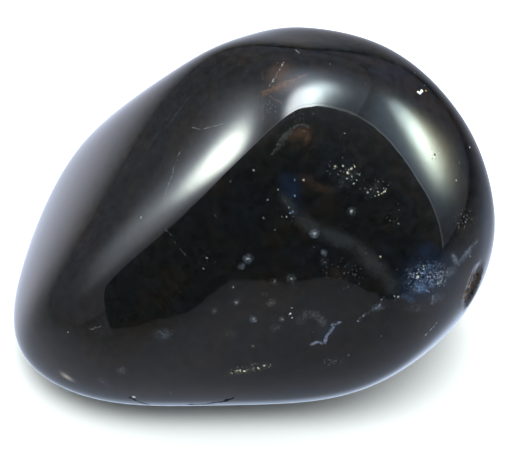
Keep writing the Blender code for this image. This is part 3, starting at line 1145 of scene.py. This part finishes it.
        sky = put("VectorMath", look, self.sky_slope, operation="DOT_PRODUCT")
        sky = put("Math", put("Math", sky, self.sky_level, operation="ADD"), 0.0, operation="MAXIMUM")
        sky = put("VectorMath", srgb(self.sky_tint), sky, operation="SCALE")
        rays = put("LightPath").outputs
        around = put("Mix", rays["Is Glossy Ray"], sky, mirrored, data_type="VECTOR")
        around = put("Mix", rays["Is Camera Ray"], around, (1.0, 1.0, 1.0), data_type="VECTOR")
        put("OutputWorld", put("Background", around))

    @staticmethod
    def lobe(tree: bpy.types.NodeTree, look: bpy.types.NodeSocket, lamp: Lamp) -> bpy.types.Node:
        """A lamp's light in the looked-at direction.

        Args:
            tree: The world's node tree.
            look: The looked-at direction.
            lamp: The lamp.

        Returns:
            The node whose output is the lamp's colour times its brightness there.
        """
        put = partial(add, tree)
        aim = tuple(compass(lamp.azimuth, lamp.elevation))
        cosine = put("VectorMath", look, aim, operation="DOT_PRODUCT")
        away = put("Math", put("Math", 1.0, cosine, operation="SUBTRACT"), lamp.spread, operation="DIVIDE")
        away = put("Math", put("Math", away, float(lamp.crispness), operation="POWER"), -1.0,
                   operation="MULTIPLY")
        fall = put("Math", put("Math", away, operation="EXPONENT"), lamp.strength, operation="MULTIPLY")
        return put("VectorMath", srgb(lamp.tint), fall, operation="SCALE")

    def framed(self, tree: bpy.types.NodeTree, tent: bpy.types.Node, inward: bpy.types.Node,
               sideways: bpy.types.NodeSocket, height: bpy.types.NodeSocket) -> bpy.types.Node:
        """The tent with the opening's pale frame, its bright piping and the seam beyond it.

        Args:
            tree: The world's node tree.
            tent: The tent's light.
            inward: How far the looked-at direction is inside the opening's edge.
            sideways: Its x part.
            height: Its z part.

        Returns:
            The node whose output is the tent's light with the frame in it.
        """
        put = partial(add, tree)
        outward = put("Math", inward, -1.0, operation="MULTIPLY")
        shown = put("Math", sideways, self.frame_side_share, height, operation="MULTIPLY_ADD")
        shown = put("MapRange", shown, *self.frame_span, 0.0, 1.0, interpolation_type="SMOOTHSTEP")
        crisp = 2 * self.edge_softness
        level = put("MapRange", outward, self.frame_width, self.frame_width - crisp, 0.0, self.frame_light,
                    interpolation_type="SMOOTHSTEP")
        piping = put("MapRange", outward, self.piping_width, self.piping_width - crisp, 0.0,
                     self.piping_light, interpolation_type="SMOOTHSTEP")
        level = put("Math", put("Math", level, piping, operation="ADD"), shown, operation="MULTIPLY")
        frame_light = put("VectorMath", srgb(self.frame_tint), level, operation="SCALE")
        seam_end = self.frame_width + self.seam_width
        seam = put("MapRange", outward, self.frame_width, self.frame_width + crisp, 0.0, self.seam_shade,
                   interpolation_type="SMOOTHSTEP")
        seam_stop = put("MapRange", outward, seam_end, seam_end - crisp, 0.0, 1.0,
                        interpolation_type="SMOOTHSTEP")
        seam = put("Math", put("Math", seam, seam_stop, operation="MULTIPLY"), shown, operation="MULTIPLY")
        tent = put("VectorMath", tent, frame_light, operation="ADD")
        return put("VectorMath", tent, put("Math", 1.0, seam, operation="SUBTRACT"), operation="SCALE")

    def table(self, tree: bpy.types.NodeTree, look: bpy.types.NodeSocket,
              height: bpy.types.NodeSocket) -> bpy.types.Node:
        """The table as the polish mirrors it: dim near the horizon, and lighter the steeper the look down.

        Args:
            tree: The world's node tree.
            look: The looked-at direction.
            height: Its z part.

        Returns:
            The node whose output is the table's light.
        """
        put = partial(add, tree)
        down = put("Math", height, -1.0, operation="MULTIPLY")
        level = put("VectorMath", look, self.table_slope, operation="DOT_PRODUCT")
        level = put("Math", level, self.table_level, operation="ADD")
        light = put("VectorMath", (1.0, 1.0, 1.0), level, operation="SCALE")
        rise = put("VectorMath", srgb(self.table_tint),
                   put("Math", down, self.table_rise, operation="MULTIPLY"), operation="SCALE")
        steep = put("Math", put("Math", down, down, operation="MULTIPLY"), self.table_fall,
                    operation="MULTIPLY")
        fall = put("VectorMath", srgb(self.table_fall_tint), steep, operation="SCALE")
        light = put("VectorMath", light, rise, operation="ADD")
        light = put("VectorMath", light, fall, operation="SUBTRACT")
        for lamp in self.table_lights:
            light = put("VectorMath", light, self.lobe(tree, look, lamp), operation="ADD")
        return light


@dataclass
class Studio:
    """The pale table, the light around it, and the camera."""

    light: TentLight
    sight: Sight
    table_size: float = 3.0
    table_tone: str = "e7e5e4"
    focal_length: float = 148.3

    def table(self) -> bpy.types.Object:
        """A wide pale matt table top at the height the stone rests on.

        Returns:
            The table's object.
        """
        half = self.table_size / 2
        mesh = bpy.data.meshes.new("table_top")
        mesh.from_pydata([(-half, -half, 0), (half, -half, 0), (half, half, 0), (-half, half, 0)], [],
                         [(0, 1, 2, 3)])
        material = bpy.data.materials.new("matt_pale_table")
        material.use_nodes = True
        material.node_tree.nodes.clear()
        shader = add(material.node_tree, "BsdfDiffuse", (*srgb(self.table_tone), 1.0))
        add(material.node_tree, "OutputMaterial", shader)
        mesh.materials.append(material)
        table = bpy.data.objects.new("table_top", mesh)
        bpy.context.scene.collection.objects.link(table)
        table.visible_glossy = False
        return table

    def camera(self, centre: np.ndarray) -> bpy.types.Object:
        """A long-lens camera that looks down at the stone's front.

        Args:
            centre: The form's centre, in millimetres.

        Returns:
            The camera's object.
        """
        data = bpy.data.cameras.new("camera")
        data.lens = self.focal_length
        data.sensor_width = 36.0
        data.clip_start = 0.01
        camera = bpy.data.objects.new("camera", data)
        camera.location = (centre + self.sight.eye()) * MM
        camera.rotation_euler = (math.radians(90 - self.sight.elevation), 0.0, 0.0)
        bpy.context.scene.collection.objects.link(camera)
        bpy.context.scene.camera = camera
        return camera


def main() -> None:
    """Builds the stone and its studio."""
    logging.basicConfig(level=logging.INFO)
    bpy.context.scene.view_settings.view_transform = "Standard"
    sight = Sight()
    stone = OnyxStone(WornForm(), PolishedOnyx(), FrontMarks(), sight)
    piece = stone.build()
    LOG.info("%s: %d faces", piece.name, len(piece.data.polygons))
    studio = Studio(TentLight(), sight)
    studio.table()
    studio.light.build()
    studio.camera(stone.centre)


if __name__ == "__main__":
    main()
